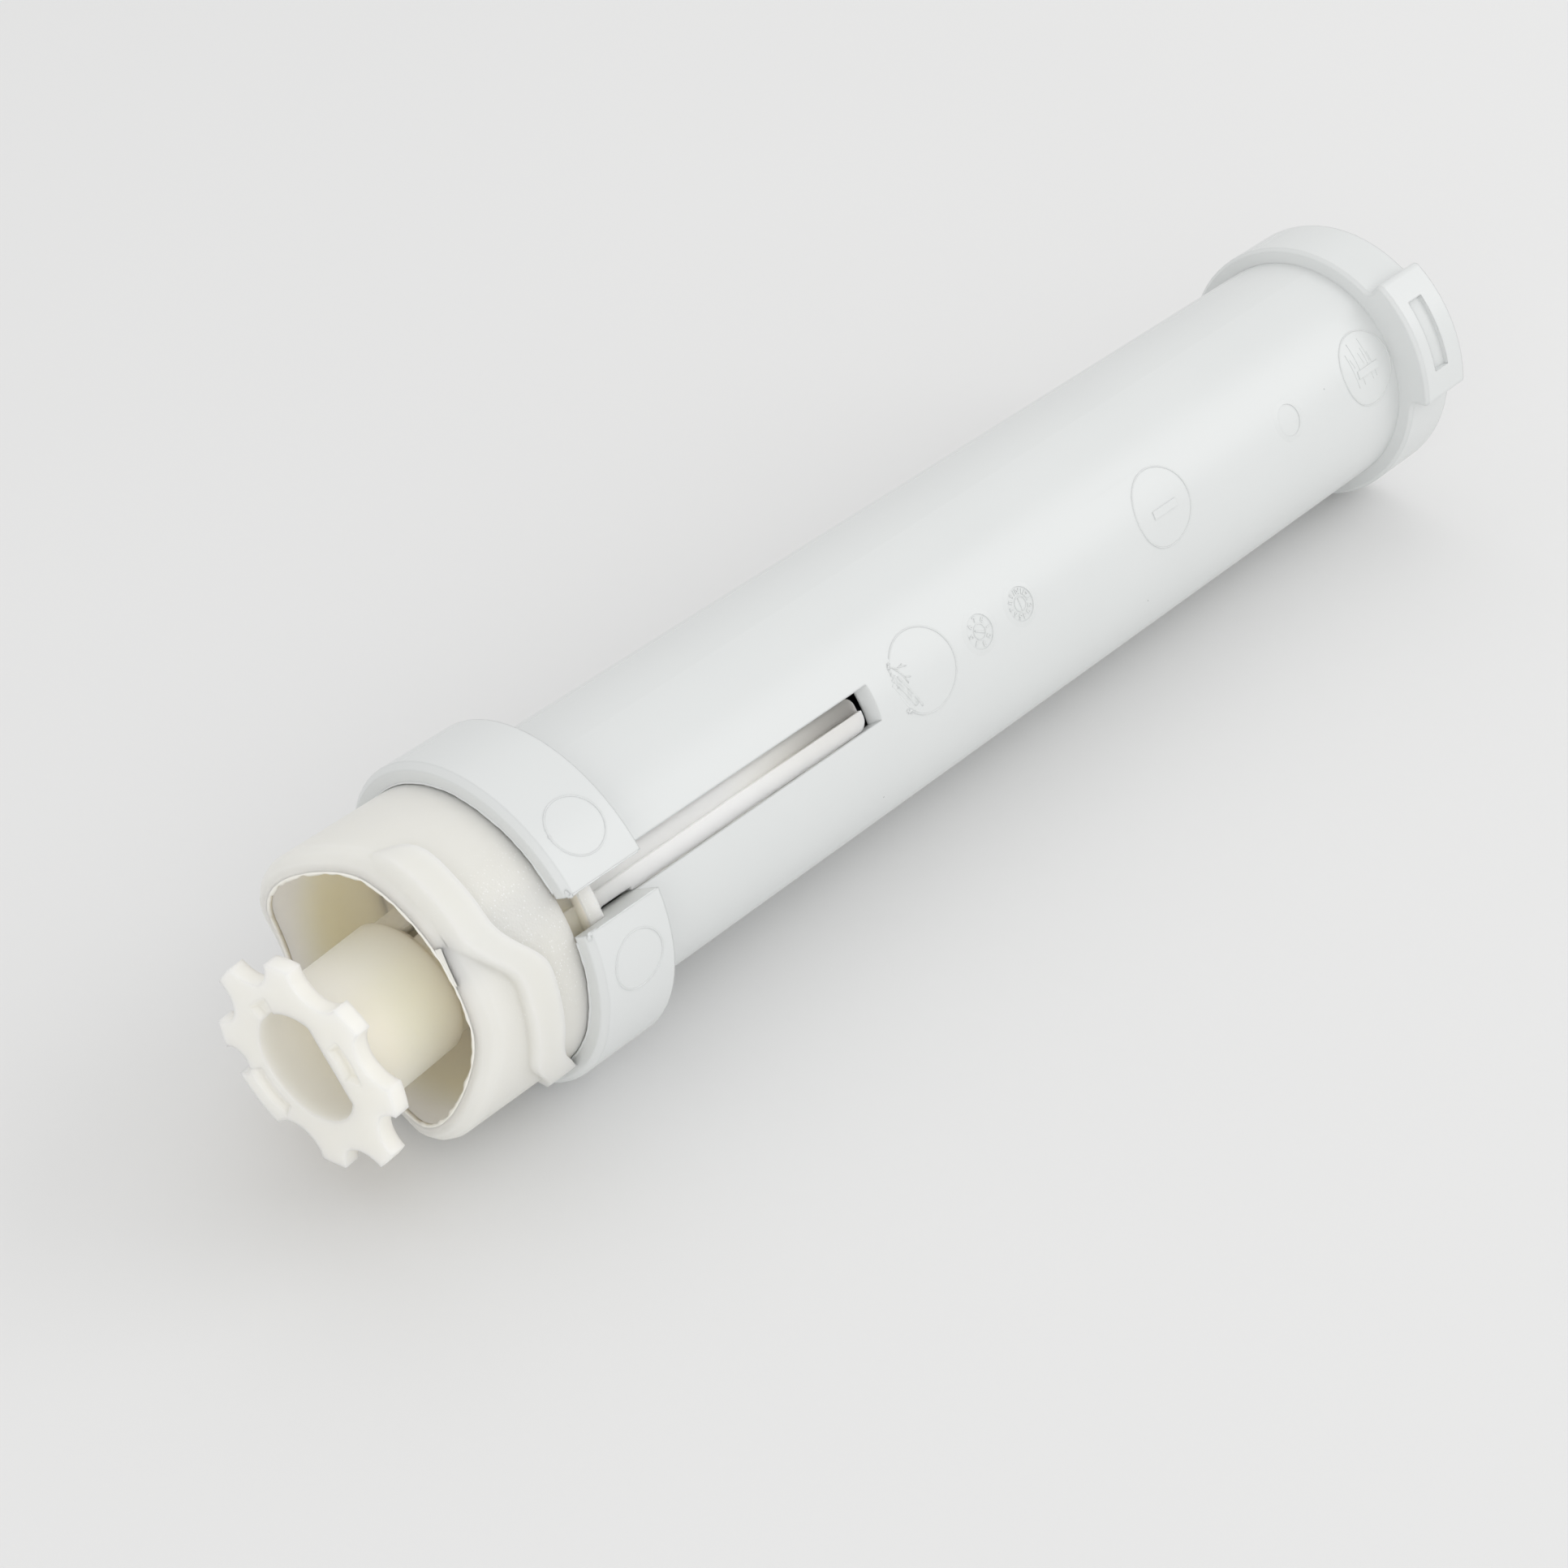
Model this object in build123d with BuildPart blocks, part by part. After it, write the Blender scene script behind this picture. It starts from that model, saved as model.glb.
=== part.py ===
# Bypass cartridge for a fridge's water filter head: it takes the filter's place and lets the water through.
# X runs along the tube, from the bayonet nose (-X) to the closed end (+X), and Z is up as it lies on a table.
# The origin is on the tube's axis at the collar's front face. Lengths are in millimetres, angles in degrees.
# Angles round the tube are measured from the top towards the -Y side.

import os
from math import cos, degrees, hypot, radians, sin

from build123d import *

# Fits
running_gap = 0.3
sleeve_gap = 0.12
seat_gap = 0.05
hub_play = 0.95
edge_tolerance = 0.1

# Outer tube
tube_r = 25.0
tube_wall = 2.5
tube_length = 227.2
collar_rise = 5.9
collar_length = 16.6
collar_wall = 3.5
collar_step = 9.6
collar_bevel = 1.1
slot_angle = 56.6
slot_width = 7.0
slot_length = 79.2
slot_ramp = 1.5

# Bell at the rear of the tube, with two windowed lobes in line with the slots
bell_rise = 3.2
bell_wall = 2.5
bell_length = 13.8
bell_bevel = 0.7
lobe_rise = 3.8
lobe_wall = 2.6
lobe_span = 52.0
lobe_round = 1.3
window_span = 28.0
window_setback = 4.0
window_length = 4.6

# End plug
plug_face = 2.5
plug_skirt_wall = 2.0
tab_thickness = 2.2
tab_play = 0.3
catch_gap = 0.1
catch_lead = 0.9
catch_height = 1.9

# Bayonet insert
nose_length = 21.9
nose_stock = 9.0
nose_angle = 38.5
nose_wall = 3.8
saddle_flat = 28.0
saddle_bend = 12.0
saddle_bend_angle = 32.0
rim_bevel = 2.4
rim_edge = 0.8
floor_setback = 0.4
web_thickness = 3.0
neck_wall = 2.0
neck_length = 4.2
tail_wall = 2.0
tail_length = 49.6
hub_length = 22.0
hub_wall = 2.2

# Bayonet ramps on the nose
ramp_height = 1.7
ramp_start_height = 0.05
ramp_width = 5.7
ramp_start_width = 0.9
ramp_setback = 2.8
ramp_angle = -6.0
ramp_sweep = 134.0
far_ramp_sweep = 104.0
ramp_taper = 18.0
first_step = 6.2
first_step_turn = (49.0, 73.0)
second_step = 6.6
second_step_turn = (104.0, 134.0)
ramp_flank = 1.6
ramp_root = 1.2
ramp_pitch = 7.0

# Keys of the insert in the tube's slots
key_clearance = 0.2
key_length = 69.0
key_depth = 3.9
key_drop = 0.7
key_shelf = 1.1
key_end_round = 2.4
key_window_length = 7.6
key_window_setback = 1.4
key_window_width = 2.6
key_window_round = 1.0

# Key spindle, hanging a little askew in the hub
droop = 4.3
droop_angle = 114.0
pivot_x = 10.6
flange_reach = 51.4
flange_thickness = 3.0
flange_tip_r = 20.0
flange_root_r = 15.9
tooth_count = 8
tooth_angle = 34.6
tooth_span = 15.8
wide_tooth = 4
wide_tooth_extra = 14.5
drum_r = 12.6
drum_wall = 2.2
drum_length = 21.4
drum_bevel = 0.9
drum_floor = 2.5
bore_flat = 7.4
flat_wall = 2.0
pocket_depth = 1.1
pocket_draft = 35.0
pocket_span = 36.0
pocket_width = 4.0
notch_angle = -46.0
notch_span = 26.0
notch_depth = 3.0
stem_r = 11.6
stem_wall = 2.2
stem_slot = 2.9
stem_slot_angle = 3.0
stem_root = 0.3
barb_height = 1.7
barb_length = 3.0
barb_play = 1.3

# Places worked out from the sizes above
tube_bore_r = tube_r - tube_wall
collar_r = tube_r + collar_rise
bell_r = tube_r + bell_rise
lobe_r = bell_r + lobe_rise
collar_bore_r = collar_r - collar_wall
bell_x = collar_length + tube_length
rear_x = bell_x + bell_length
seat_x = collar_length - collar_step
sleeve_r = collar_bore_r - sleeve_gap
nose_bore_r = sleeve_r - nose_wall
tail_r = tube_bore_r - running_gap
tail_bore_r = tail_r - tail_wall
tail_x = seat_x + tail_length
neck_r = tail_r + neck_wall
hub_bore_r = stem_r + hub_play
near, far = sides = (0.0, 180.0)


def outward(angle):
    # Direction straight out from the tube's axis at an angle round it.
    return Vector(0, -sin(radians(angle)), cos(radians(angle)))


def facing(angle, radius=0.0):
    # Plane square to that direction: its x runs along the tube.
    return Plane(origin=outward(angle) * radius, x_dir=(1, 0, 0), z_dir=outward(angle))


def lengthwise(angle):
    # Plane through the tube's axis: its x runs along the tube, its y straight out.
    return Plane(origin=(0, 0, 0), x_dir=(1, 0, 0), z_dir=Vector(1, 0, 0).cross(outward(angle)))


def across(x):
    # Plane across the tube: its x points straight up, its y to the -Y side.
    return Plane(origin=(x, 0, 0), x_dir=(0, 0, 1), z_dir=(1, 0, 0))


def polar(radius, angle):
    return (radius * cos(radians(angle)), radius * sin(radians(angle)))


def off_axis(edge):
    # Distance of an edge's middle from the tube's axis.
    middle = edge @ 0.5
    return hypot(middle.Y, middle.Z)


def ring_sector(inner_r, outer_r, middle, span):
    # Outline of a piece of a ring, on a plane across an axis.
    low = middle - span / 2
    high = middle + span / 2
    ThreePointArc(polar(outer_r, low), polar(outer_r, middle), polar(outer_r, high))
    Line(polar(outer_r, high), polar(inner_r, high))
    ThreePointArc(polar(inner_r, high), polar(inner_r, middle), polar(inner_r, low))
    Line(polar(inner_r, low), polar(outer_r, low))


def ease(value, low, high):
    # Smooth step from 0 to 1.
    t = min(max((value - low) / (high - low), 0.0), 1.0)
    return t * t * (3 - 2 * t)


# Outer tube: split collar, tube and bell are one moulding
bell_bore_r = bell_r - bell_wall
lobe_bore_r = lobe_r - lobe_wall
lobe_hollow_span = lobe_span - 2 * degrees(lobe_wall / lobe_bore_r)
bell_floor = bell_x + bell_wall
window_x = bell_x + window_setback
slot_floor = slot_length - slot_ramp

with BuildPart() as outer_tube:
    with BuildSketch(lengthwise(0)):
        with BuildLine():
            Polyline(
                (0, collar_bore_r),
                (0, collar_r),
                (collar_length, collar_r),
                (collar_length, tube_r),
                (bell_x, tube_r),
                (bell_x, bell_r),
                (rear_x, bell_r),
                (rear_x, bell_bore_r),
                (bell_floor, bell_bore_r),
                (bell_floor, tube_bore_r),
                (seat_x, tube_bore_r),
                (seat_x, collar_bore_r),
                close=True,
            )
        make_face()
    revolve(axis=Axis.X)
    collar_front = outer_tube.edges().filter_by(GeomType.CIRCLE).group_by(Axis.X)[0]
    chamfer(collar_front.sort_by(SortBy.RADIUS)[-1], collar_bevel)
    with BuildSketch(across(bell_x)) as bell_outline:
        Circle(bell_r)
        for side in sides:
            with BuildLine():
                ring_sector(bell_bore_r, lobe_r, slot_angle + side, lobe_span)
            make_face()
        fillet(bell_outline.edges().filter_by(GeomType.LINE).vertices(), lobe_round)
        Circle(bell_bore_r, mode=Mode.SUBTRACT)
    extrude(amount=bell_length)
    bell_edges = outer_tube.edges().filter_by(lambda edge: off_axis(edge) > bell_r - edge_tolerance)
    bell_face = (bell_x - edge_tolerance, bell_x + edge_tolerance)
    chamfer(bell_edges.filter_by_position(Axis.X, *bell_face), bell_bevel)
    for side in sides:
        with BuildSketch(across(bell_floor)):
            with BuildLine():
                ring_sector(tube_r, lobe_bore_r, slot_angle + side, lobe_hollow_span)
            make_face()
        extrude(amount=bell_length, mode=Mode.SUBTRACT)
        with BuildSketch(across(window_x)):
            with BuildLine():
                ring_sector(tube_r, lobe_r + lobe_wall, slot_angle + side, window_span)
            make_face()
        extrude(amount=window_length, mode=Mode.SUBTRACT)
        with BuildSketch(facing(slot_angle + side)):
            Rectangle(2 * slot_floor, slot_width)
        extrude(amount=2 * collar_r, mode=Mode.SUBTRACT)
        with BuildSketch(lengthwise(slot_angle + side)):
            with BuildLine():
                Polyline((slot_floor, tube_bore_r), (slot_length, tube_r), (slot_floor, tube_r), close=True)
            make_face()
        extrude(amount=slot_width / 2, both=True, mode=Mode.SUBTRACT)
outer_tube.part.label = "outer_tube"

# End plug: plain face, skirt in the bell and two snap tabs in the windows
plug_r = bell_bore_r - running_gap
plug_front = bell_floor + running_gap
tab_r = lobe_bore_r - running_gap
tab_span = window_span - 2 * tab_play
catch_x = window_x + catch_gap
catch_length = window_length - 2 * catch_gap

with BuildPart() as end_plug:
    with BuildSketch(lengthwise(0)):
        with BuildLine():
            Polyline(
                (rear_x, 0),
                (rear_x, plug_r),
                (plug_front, plug_r),
                (plug_front, plug_r - plug_skirt_wall),
                (rear_x - plug_face, plug_r - plug_skirt_wall),
                (rear_x - plug_face, 0),
                close=True,
            )
        make_face()
    revolve(axis=Axis.X)
    for side in sides:
        with BuildSketch(across(plug_front)):
            with BuildLine():
                ring_sector(tab_r - tab_thickness, tab_r, slot_angle + side, tab_span)
            make_face()
        extrude(amount=rear_x - plug_front)
        with BuildSketch(across(rear_x - plug_face)):
            with BuildLine():
                ring_sector(plug_r - plug_skirt_wall, tab_r, slot_angle + side, tab_span)
            make_face()
        extrude(amount=plug_face)
        with BuildSketch(lengthwise(slot_angle + side - tab_span / 2)):
            with BuildLine():
                Polyline(
                    (catch_x, tab_r - tab_thickness),
                    (catch_x, tab_r + catch_lead),
                    (catch_x + catch_length, tab_r + catch_height),
                    (catch_x + catch_length, tab_r - tab_thickness),
                    close=True,
                )
            make_face()
        revolve(axis=Axis.X, revolution_arc=tab_span)
end_plug.part.label = "end_plug"

# Bayonet insert: saddle nose, stepped ramps, neck, seat ring, tail, hub and two keys
nose_front = -nose_length - nose_stock
ramp_front = ramp_setback - nose_length
ramp_sweeps = {near: ramp_sweep, far: far_ramp_sweep}
key_top = tube_r - key_drop
key_width = slot_width - 2 * key_clearance


def ramp_section(turn):
    # Section of a ramp at an angle from its start: it widens and rises, then steps back towards the collar.
    grown = ease(turn, 0.0, ramp_taper)
    front = ramp_front + first_step * ease(turn, *first_step_turn)
    front += second_step * ease(turn, *second_step_turn)
    rear = front + ramp_start_width + (ramp_width - ramp_start_width) * grown
    top = sleeve_r + ramp_start_height + (ramp_height - ramp_start_height) * grown
    root = sleeve_r - ramp_root
    return [(front - ramp_flank, root), (front, top), (rear, top), (rear, root)]


with BuildPart() as bayonet_insert:
    with BuildSketch(lengthwise(0)):
        with BuildLine():
            Polyline(
                (nose_front, sleeve_r),
                (0, sleeve_r),
                (0, neck_r),
                (neck_length, neck_r),
                (neck_length, sleeve_r),
                (seat_x - seat_gap, sleeve_r),
                (seat_x - seat_gap, tail_r),
                (tail_x, tail_r),
                (tail_x, tail_bore_r),
                (web_thickness - floor_setback, tail_bore_r),
                (web_thickness - floor_setback, hub_bore_r + hub_wall),
                (hub_length - floor_setback, hub_bore_r + hub_wall),
                (hub_length - floor_setback, hub_bore_r),
                (-floor_setback, hub_bore_r),
                (-floor_setback, nose_bore_r),
                (nose_front, nose_bore_r),
                close=True,
            )
        make_face()
    revolve(axis=Axis.X)
    with BuildSketch(facing(nose_angle)):
        with BuildLine():
            trough = Line((-nose_length, 0), (-nose_length, saddle_flat / 2))
            bend = JernArc(trough @ 1, trough % 1, saddle_bend, saddle_bend_angle)
            flank = PolarLine(bend @ 1, collar_r, direction=bend % 1)
            Polyline(flank @ 1, (flank @ 1) - (collar_r, 0), (-collar_r - nose_length, 0))
            mirror(about=Plane.XZ)
        make_face()
    extrude(amount=collar_r, both=True, mode=Mode.SUBTRACT)
    bevel_r = sleeve_r - rim_bevel
    rim_limit = -floor_setback - edge_tolerance
    for edge_r, size in ((sleeve_r, rim_bevel), (bevel_r, rim_edge), (sleeve_r, rim_edge)):
        rim = bayonet_insert.edges().filter_by(lambda edge: edge.bounding_box().max.X < rim_limit)
        chamfer(rim.filter_by(lambda edge: abs(off_axis(edge) - edge_r) < edge_tolerance), size)
    for side in sides:
        stations = round(ramp_sweeps[side] / ramp_pitch)
        for station in range(stations + 1):
            turn = ramp_sweeps[side] * station / stations
            with BuildSketch(lengthwise(ramp_angle + turn + side)):
                with BuildLine():
                    Polyline(*ramp_section(turn), close=True)
                make_face()
        loft()
        with BuildSketch(facing(slot_angle + side, key_top - key_depth)) as key_plan:
            with Locations((seat_x + key_length / 2, 0)):
                Rectangle(key_length, key_width)
            fillet(key_plan.vertices().group_by(Axis.X)[-1], key_end_round)
        extrude(amount=key_depth)
        with BuildSketch(facing(slot_angle + side, key_top)):
            with Locations((seat_x + key_length / 2, key_width / 2)):
                Rectangle(2 * key_length, key_width)
        extrude(amount=-key_shelf, mode=Mode.SUBTRACT)
        with BuildSketch(facing(slot_angle + side, tail_bore_r - tail_wall)) as key_windows:
            with GridLocations(0, key_width + key_window_width / 2, 1, 2):
                with Locations((seat_x + key_window_setback + key_window_length / 2, 0)):
                    Rectangle(key_window_length, key_window_width)
            fillet(key_windows.vertices().group_by(Axis.X)[0], key_window_round)
        extrude(amount=key_depth + 2 * tail_wall, mode=Mode.SUBTRACT)
bayonet_insert.part.label = "bayonet_insert"

# Key spindle: toothed flange and hollow drum on a slotted stem
lean = radians(droop)
rearward = Vector(cos(lean), 0, 0) - outward(droop_angle) * sin(lean)
upward = (outward(0) - rearward * outward(0).dot(rearward)).normalized()
pivot = Vector(pivot_x, 0, 0)
drum_rear = flange_thickness + drum_length - flange_reach
bore_r = drum_r - drum_wall
bore_depth = flange_thickness + drum_length - drum_floor
hub_rear = hub_length - floor_setback - pivot_x
barb_start = hub_rear + barb_play
stem_rear = barb_start + barb_length


def spindle_plane(distance):
    # Plane across the spindle, a distance behind its pivot: its x points up, its y to the -Y side.
    return Plane(origin=pivot + rearward * distance, x_dir=upward, z_dir=rearward)


def tooth_edges(tooth):
    # First and last angle of a tooth's tip.
    first = tooth_angle - tooth_span / 2 + 360 / tooth_count * tooth
    extra = wide_tooth_extra if tooth % tooth_count == wide_tooth else 0
    return first, first + tooth_span + extra


with BuildPart() as key_spindle:
    with BuildSketch(Plane(origin=pivot, x_dir=rearward, z_dir=rearward.cross(upward))):
        with BuildLine():
            Polyline(
                (-flange_reach, bore_r),
                (-flange_reach, drum_r),
                (drum_rear - drum_bevel, drum_r),
                (drum_rear, drum_r - drum_bevel),
                (drum_rear, stem_r),
                (barb_start, stem_r),
                (barb_start, stem_r + barb_height),
                (stem_rear, stem_r - barb_height / 2),
                (stem_rear, stem_r - stem_wall),
                (drum_rear, stem_r - stem_wall),
                (drum_rear, 0),
                (drum_rear - drum_floor, 0),
                (drum_rear - drum_floor, bore_r),
                close=True,
            )
        make_face()
    revolve(axis=Axis(pivot, rearward))
    with BuildSketch(spindle_plane(-flange_reach)):
        with BuildLine():
            for tooth in range(tooth_count):
                start, end = tooth_edges(tooth)
                following = tooth_edges(tooth + 1)[0]
                middle = (start + end) / 2
                ThreePointArc(*(polar(flange_tip_r, angle) for angle in (start, middle, end)))
                root = polar(flange_root_r, (end + following) / 2)
                ThreePointArc(polar(flange_tip_r, end), root, polar(flange_tip_r, following))
        make_face()
        Circle(bore_r, mode=Mode.SUBTRACT)
    extrude(amount=flange_thickness)
    with BuildSketch(spindle_plane(-flange_reach)):
        Circle(bore_r + drum_wall / 2)
        with PolarLocations(bore_flat + drum_r, 1, slot_angle):
            Rectangle(2 * drum_r, 2 * drum_r, mode=Mode.INTERSECT)
    extrude(amount=bore_depth + drum_floor / 2)
    with BuildSketch(spindle_plane(-flange_reach)):
        with BuildLine():
            flat_r = bore_flat + flat_wall
            ring_sector(flat_r, flat_r + pocket_width, slot_angle, pocket_span)
        make_face()
        with BuildLine():
            middle = sum(tooth_edges(wide_tooth)) / 2
            ring_sector(drum_r, drum_r + pocket_width, middle, pocket_span)
        make_face()
        with BuildLine():
            ring_sector(bore_r - drum_wall, bore_r + notch_depth, notch_angle, notch_span)
        make_face()
    extrude(amount=pocket_depth, taper=pocket_draft, mode=Mode.SUBTRACT)
    with BuildSketch(spindle_plane(stem_rear)):
        with PolarLocations(0, 2, stem_slot_angle):
            Rectangle(2 * (stem_r + barb_height), stem_slot)
    extrude(amount=drum_rear + stem_root - stem_rear, mode=Mode.SUBTRACT)
key_spindle.part.label = "key_spindle"

os.makedirs("parts", exist_ok=True)
export_step(outer_tube.part, "parts/outer_tube.step")
export_step(end_plug.part, "parts/end_plug.step")
export_step(bayonet_insert.part, "parts/bayonet_insert.step")
export_step(key_spindle.part, "parts/key_spindle.step")
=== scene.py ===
from math import atan2, cos, degrees, pi, radians, sin, sqrt, tan

import bpy
import bmesh
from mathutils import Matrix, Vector, noise


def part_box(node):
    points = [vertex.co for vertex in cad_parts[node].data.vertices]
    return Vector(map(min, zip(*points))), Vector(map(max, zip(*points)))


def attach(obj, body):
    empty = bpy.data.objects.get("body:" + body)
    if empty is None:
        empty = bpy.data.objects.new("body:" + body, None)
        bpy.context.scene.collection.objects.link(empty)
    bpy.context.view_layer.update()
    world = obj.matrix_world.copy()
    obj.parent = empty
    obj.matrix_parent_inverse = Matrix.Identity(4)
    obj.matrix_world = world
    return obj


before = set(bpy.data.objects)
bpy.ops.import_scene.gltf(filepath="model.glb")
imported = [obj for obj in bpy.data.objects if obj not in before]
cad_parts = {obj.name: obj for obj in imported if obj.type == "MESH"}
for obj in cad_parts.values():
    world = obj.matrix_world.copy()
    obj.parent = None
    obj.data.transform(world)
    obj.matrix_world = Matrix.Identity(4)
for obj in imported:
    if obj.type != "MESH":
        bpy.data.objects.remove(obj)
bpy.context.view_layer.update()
print("frame loaded:", ", ".join(sorted(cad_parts)))

mm = 0.001

# the frame: X along the tube, turns round it go from the top towards the camera's side (-Y)
tubeLow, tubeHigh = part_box("outer_tube")
collarRadius = -tubeLow.z
rearEnd = tubeHigh.x
tube = {
    "radius": 25 * mm,
    "collarLength": 16.6 * mm,
    "collarBore": collarRadius - 3.5 * mm,
    "bellFront": 243.8 * mm,
    "bellRadius": 28.2 * mm,
    "slotTurn": 56.6,
    "slotHalf": 3.5 * mm,
}


def outward(turn):
    return Vector((0, -sin(radians(turn)), cos(radians(turn))))


def onTube(x, turn, radius):
    return Vector((x, 0, 0)) + outward(turn) * radius


def atSlot(x, side, rise, turn=tube["slotTurn"]):
    # a place by the slot: along the tube, across the slot and out from the axis
    return onTube(x, turn, rise) + outward(turn + 90) * side


slotSides = (("Near", tube["slotTurn"]), ("Far", tube["slotTurn"] + 180))
slotHalves = (("Upper", -1), ("Lower", 1))


# node helpers
def addNode(tree, kind, **settings):
    node = tree.nodes.new(kind)
    for key, value in settings.items():
        setattr(node, key, value)
    return node


def join(tree, source, target):
    tree.links.new(source, target)


def mathNode(tree, operation, first, second=None, clamp=False):
    node = addNode(tree, "ShaderNodeMath", operation=operation, use_clamp=clamp)
    for socket, value in zip(node.inputs, (first, second)):
        if value is None:
            continue
        if isinstance(value, (int, float)):
            socket.default_value = value
        else:
            join(tree, value, socket)
    return node.outputs[0]


def rampNode(tree, value, low, high):
    # smooth 0 to 1 between two values
    node = addNode(tree, "ShaderNodeMapRange", interpolation_type="SMOOTHSTEP")
    join(tree, value, node.inputs["Value"])
    node.inputs["From Min"].default_value = low
    node.inputs["From Max"].default_value = high
    return node.outputs["Result"]


def mixColours(tree, factor, first, second, blend="MIX"):
    node = addNode(tree, "ShaderNodeMix", data_type="RGBA", blend_type=blend)
    for socket, value in ((node.inputs[0], factor), (node.inputs[6], first), (node.inputs[7], second)):
        if isinstance(value, (tuple, float, int)):
            socket.default_value = value
        else:
            join(tree, value, socket)
    return node.outputs[2]


def newGroup(name, inputs, outputs):
    group = bpy.data.node_groups.new(name, "ShaderNodeTree")
    for label, kind, value in inputs:
        socket = group.interface.new_socket(label, in_out="INPUT", socket_type=kind)
        if value is not None:
            socket.default_value = value
    for label, kind in outputs:
        group.interface.new_socket(label, in_out="OUTPUT", socket_type=kind)
    return group, addNode(group, "NodeGroupInput"), addNode(group, "NodeGroupOutput")


def placeGroup(tree, group, **values):
    node = addNode(tree, "ShaderNodeGroup", node_tree=group)
    for label, value in values.items():
        socket = node.inputs[label]
        if hasattr(value, "is_linked"):
            join(tree, value, socket)
        else:
            socket.default_value = value
    return node


# satin skin of a moulding: fine grain, slow flow tone and a roughness that follows both
def makeSkinGroup():
    group, enter, leave = newGroup(
        "mouldedSkin",
        (("GrainScale", "NodeSocketFloat", 3000.0), ("FlowScale", "NodeSocketFloat", 60.0),
         ("Roughness", "NodeSocketFloat", 0.4), ("RoughnessSpread", "NodeSocketFloat", 0.06)),
        (("Tone", "NodeSocketFloat"), ("Roughness", "NodeSocketFloat"), ("Height", "NodeSocketFloat")),
    )
    place = addNode(group, "ShaderNodeTexCoord").outputs["Object"]
    grain = addNode(group, "ShaderNodeTexNoise")
    grain.inputs["Detail"].default_value = 3
    join(group, place, grain.inputs["Vector"])
    join(group, enter.outputs["GrainScale"], grain.inputs["Scale"])
    flow = addNode(group, "ShaderNodeTexNoise")
    flow.inputs["Detail"].default_value = 4
    join(group, place, flow.inputs["Vector"])
    join(group, enter.outputs["FlowScale"], flow.inputs["Scale"])
    centred = mathNode(group, "SUBTRACT", flow.outputs["Fac"], 0.5)
    spread = mathNode(group, "MULTIPLY", centred, enter.outputs["RoughnessSpread"])
    join(group, flow.outputs["Fac"], leave.inputs["Tone"])
    join(group, mathNode(group, "ADD", enter.outputs["Roughness"], spread), leave.inputs["Roughness"])
    join(group, grain.outputs["Fac"], leave.inputs["Height"])
    return group


# sparse handling specks and faint drag lines along the tube
def makeWearGroup():
    group, enter, leave = newGroup(
        "handlingWear",
        (("SpeckScale", "NodeSocketFloat", 150.0), ("SpeckSize", "NodeSocketFloat", 0.02),
         ("DragScale", "NodeSocketFloat", 900.0)),
        (("Specks", "NodeSocketFloat"), ("Drag", "NodeSocketFloat")),
    )
    place = addNode(group, "ShaderNodeTexCoord").outputs["Object"]
    cells = addNode(group, "ShaderNodeTexVoronoi", feature="F1")
    join(group, place, cells.inputs["Vector"])
    join(group, enter.outputs["SpeckScale"], cells.inputs["Scale"])
    near = mathNode(group, "LESS_THAN", cells.outputs["Distance"], enter.outputs["SpeckSize"])
    rare = addNode(group, "ShaderNodeSeparateColor")
    join(group, cells.outputs["Color"], rare.inputs[0])
    chosen = mathNode(group, "GREATER_THAN", rare.outputs[0], 0.82)
    join(group, mathNode(group, "MULTIPLY", near, chosen), leave.inputs["Specks"])
    stretch = addNode(group, "ShaderNodeVectorMath", operation="MULTIPLY")
    stretch.inputs[1].default_value = (0.03, 1, 1)
    join(group, place, stretch.inputs[0])
    lines = addNode(group, "ShaderNodeTexNoise")
    lines.inputs["Detail"].default_value = 2
    join(group, stretch.outputs[0], lines.inputs["Vector"])
    join(group, enter.outputs["DragScale"], lines.inputs["Scale"])
    join(group, rampNode(group, lines.outputs["Fac"], 0.62, 0.8), leave.inputs["Drag"])
    return group


# how far along the tube, how far from its axis and at which turn (of half a turn) a point lies
def makePlaceGroup():
    group, enter, leave = newGroup(
        "placeOnTube", (),
        (("Along", "NodeSocketFloat"), ("OffAxis", "NodeSocketFloat"), ("Turn", "NodeSocketFloat")),
    )
    parts = addNode(group, "ShaderNodeSeparateXYZ")
    join(group, addNode(group, "ShaderNodeTexCoord").outputs["Object"], parts.inputs[0])
    side = mathNode(group, "MULTIPLY", parts.outputs["Y"], -1.0)
    squares = [mathNode(group, "POWER", part, 2.0) for part in (side, parts.outputs["Z"])]
    square = mathNode(group, "ADD", *squares)
    turn = mathNode(group, "DEGREES", mathNode(group, "ARCTAN2", side, parts.outputs["Z"]))
    join(group, parts.outputs["X"], leave.inputs["Along"])
    join(group, mathNode(group, "SQRT", square), leave.inputs["OffAxis"])
    join(group, mathNode(group, "FLOORED_MODULO", turn, 180.0), leave.inputs["Turn"])
    return group


skinGroup = makeSkinGroup()
wearGroup = makeWearGroup()
placeGroupTree = makePlaceGroup()


def startMaterial(name):
    material = bpy.data.materials.new(name)
    material.use_nodes = True
    tree = material.node_tree
    return material, tree, tree.nodes["Principled BSDF"]


def roundedNormal(tree, shader, height, strength, distance, edge):
    # bump on top of softened moulding edges
    soft = addNode(tree, "ShaderNodeBevel", samples=6)
    if isinstance(edge, float):
        soft.inputs["Radius"].default_value = edge
    else:
        join(tree, edge, soft.inputs["Radius"])
    bump = addNode(tree, "ShaderNodeBump")
    bump.inputs["Strength"].default_value = strength
    bump.inputs["Distance"].default_value = distance
    join(tree, height, bump.inputs["Height"])
    join(tree, soft.outputs["Normal"], bump.inputs["Normal"])
    join(tree, bump.outputs["Normal"], shader.inputs["Normal"])


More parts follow.
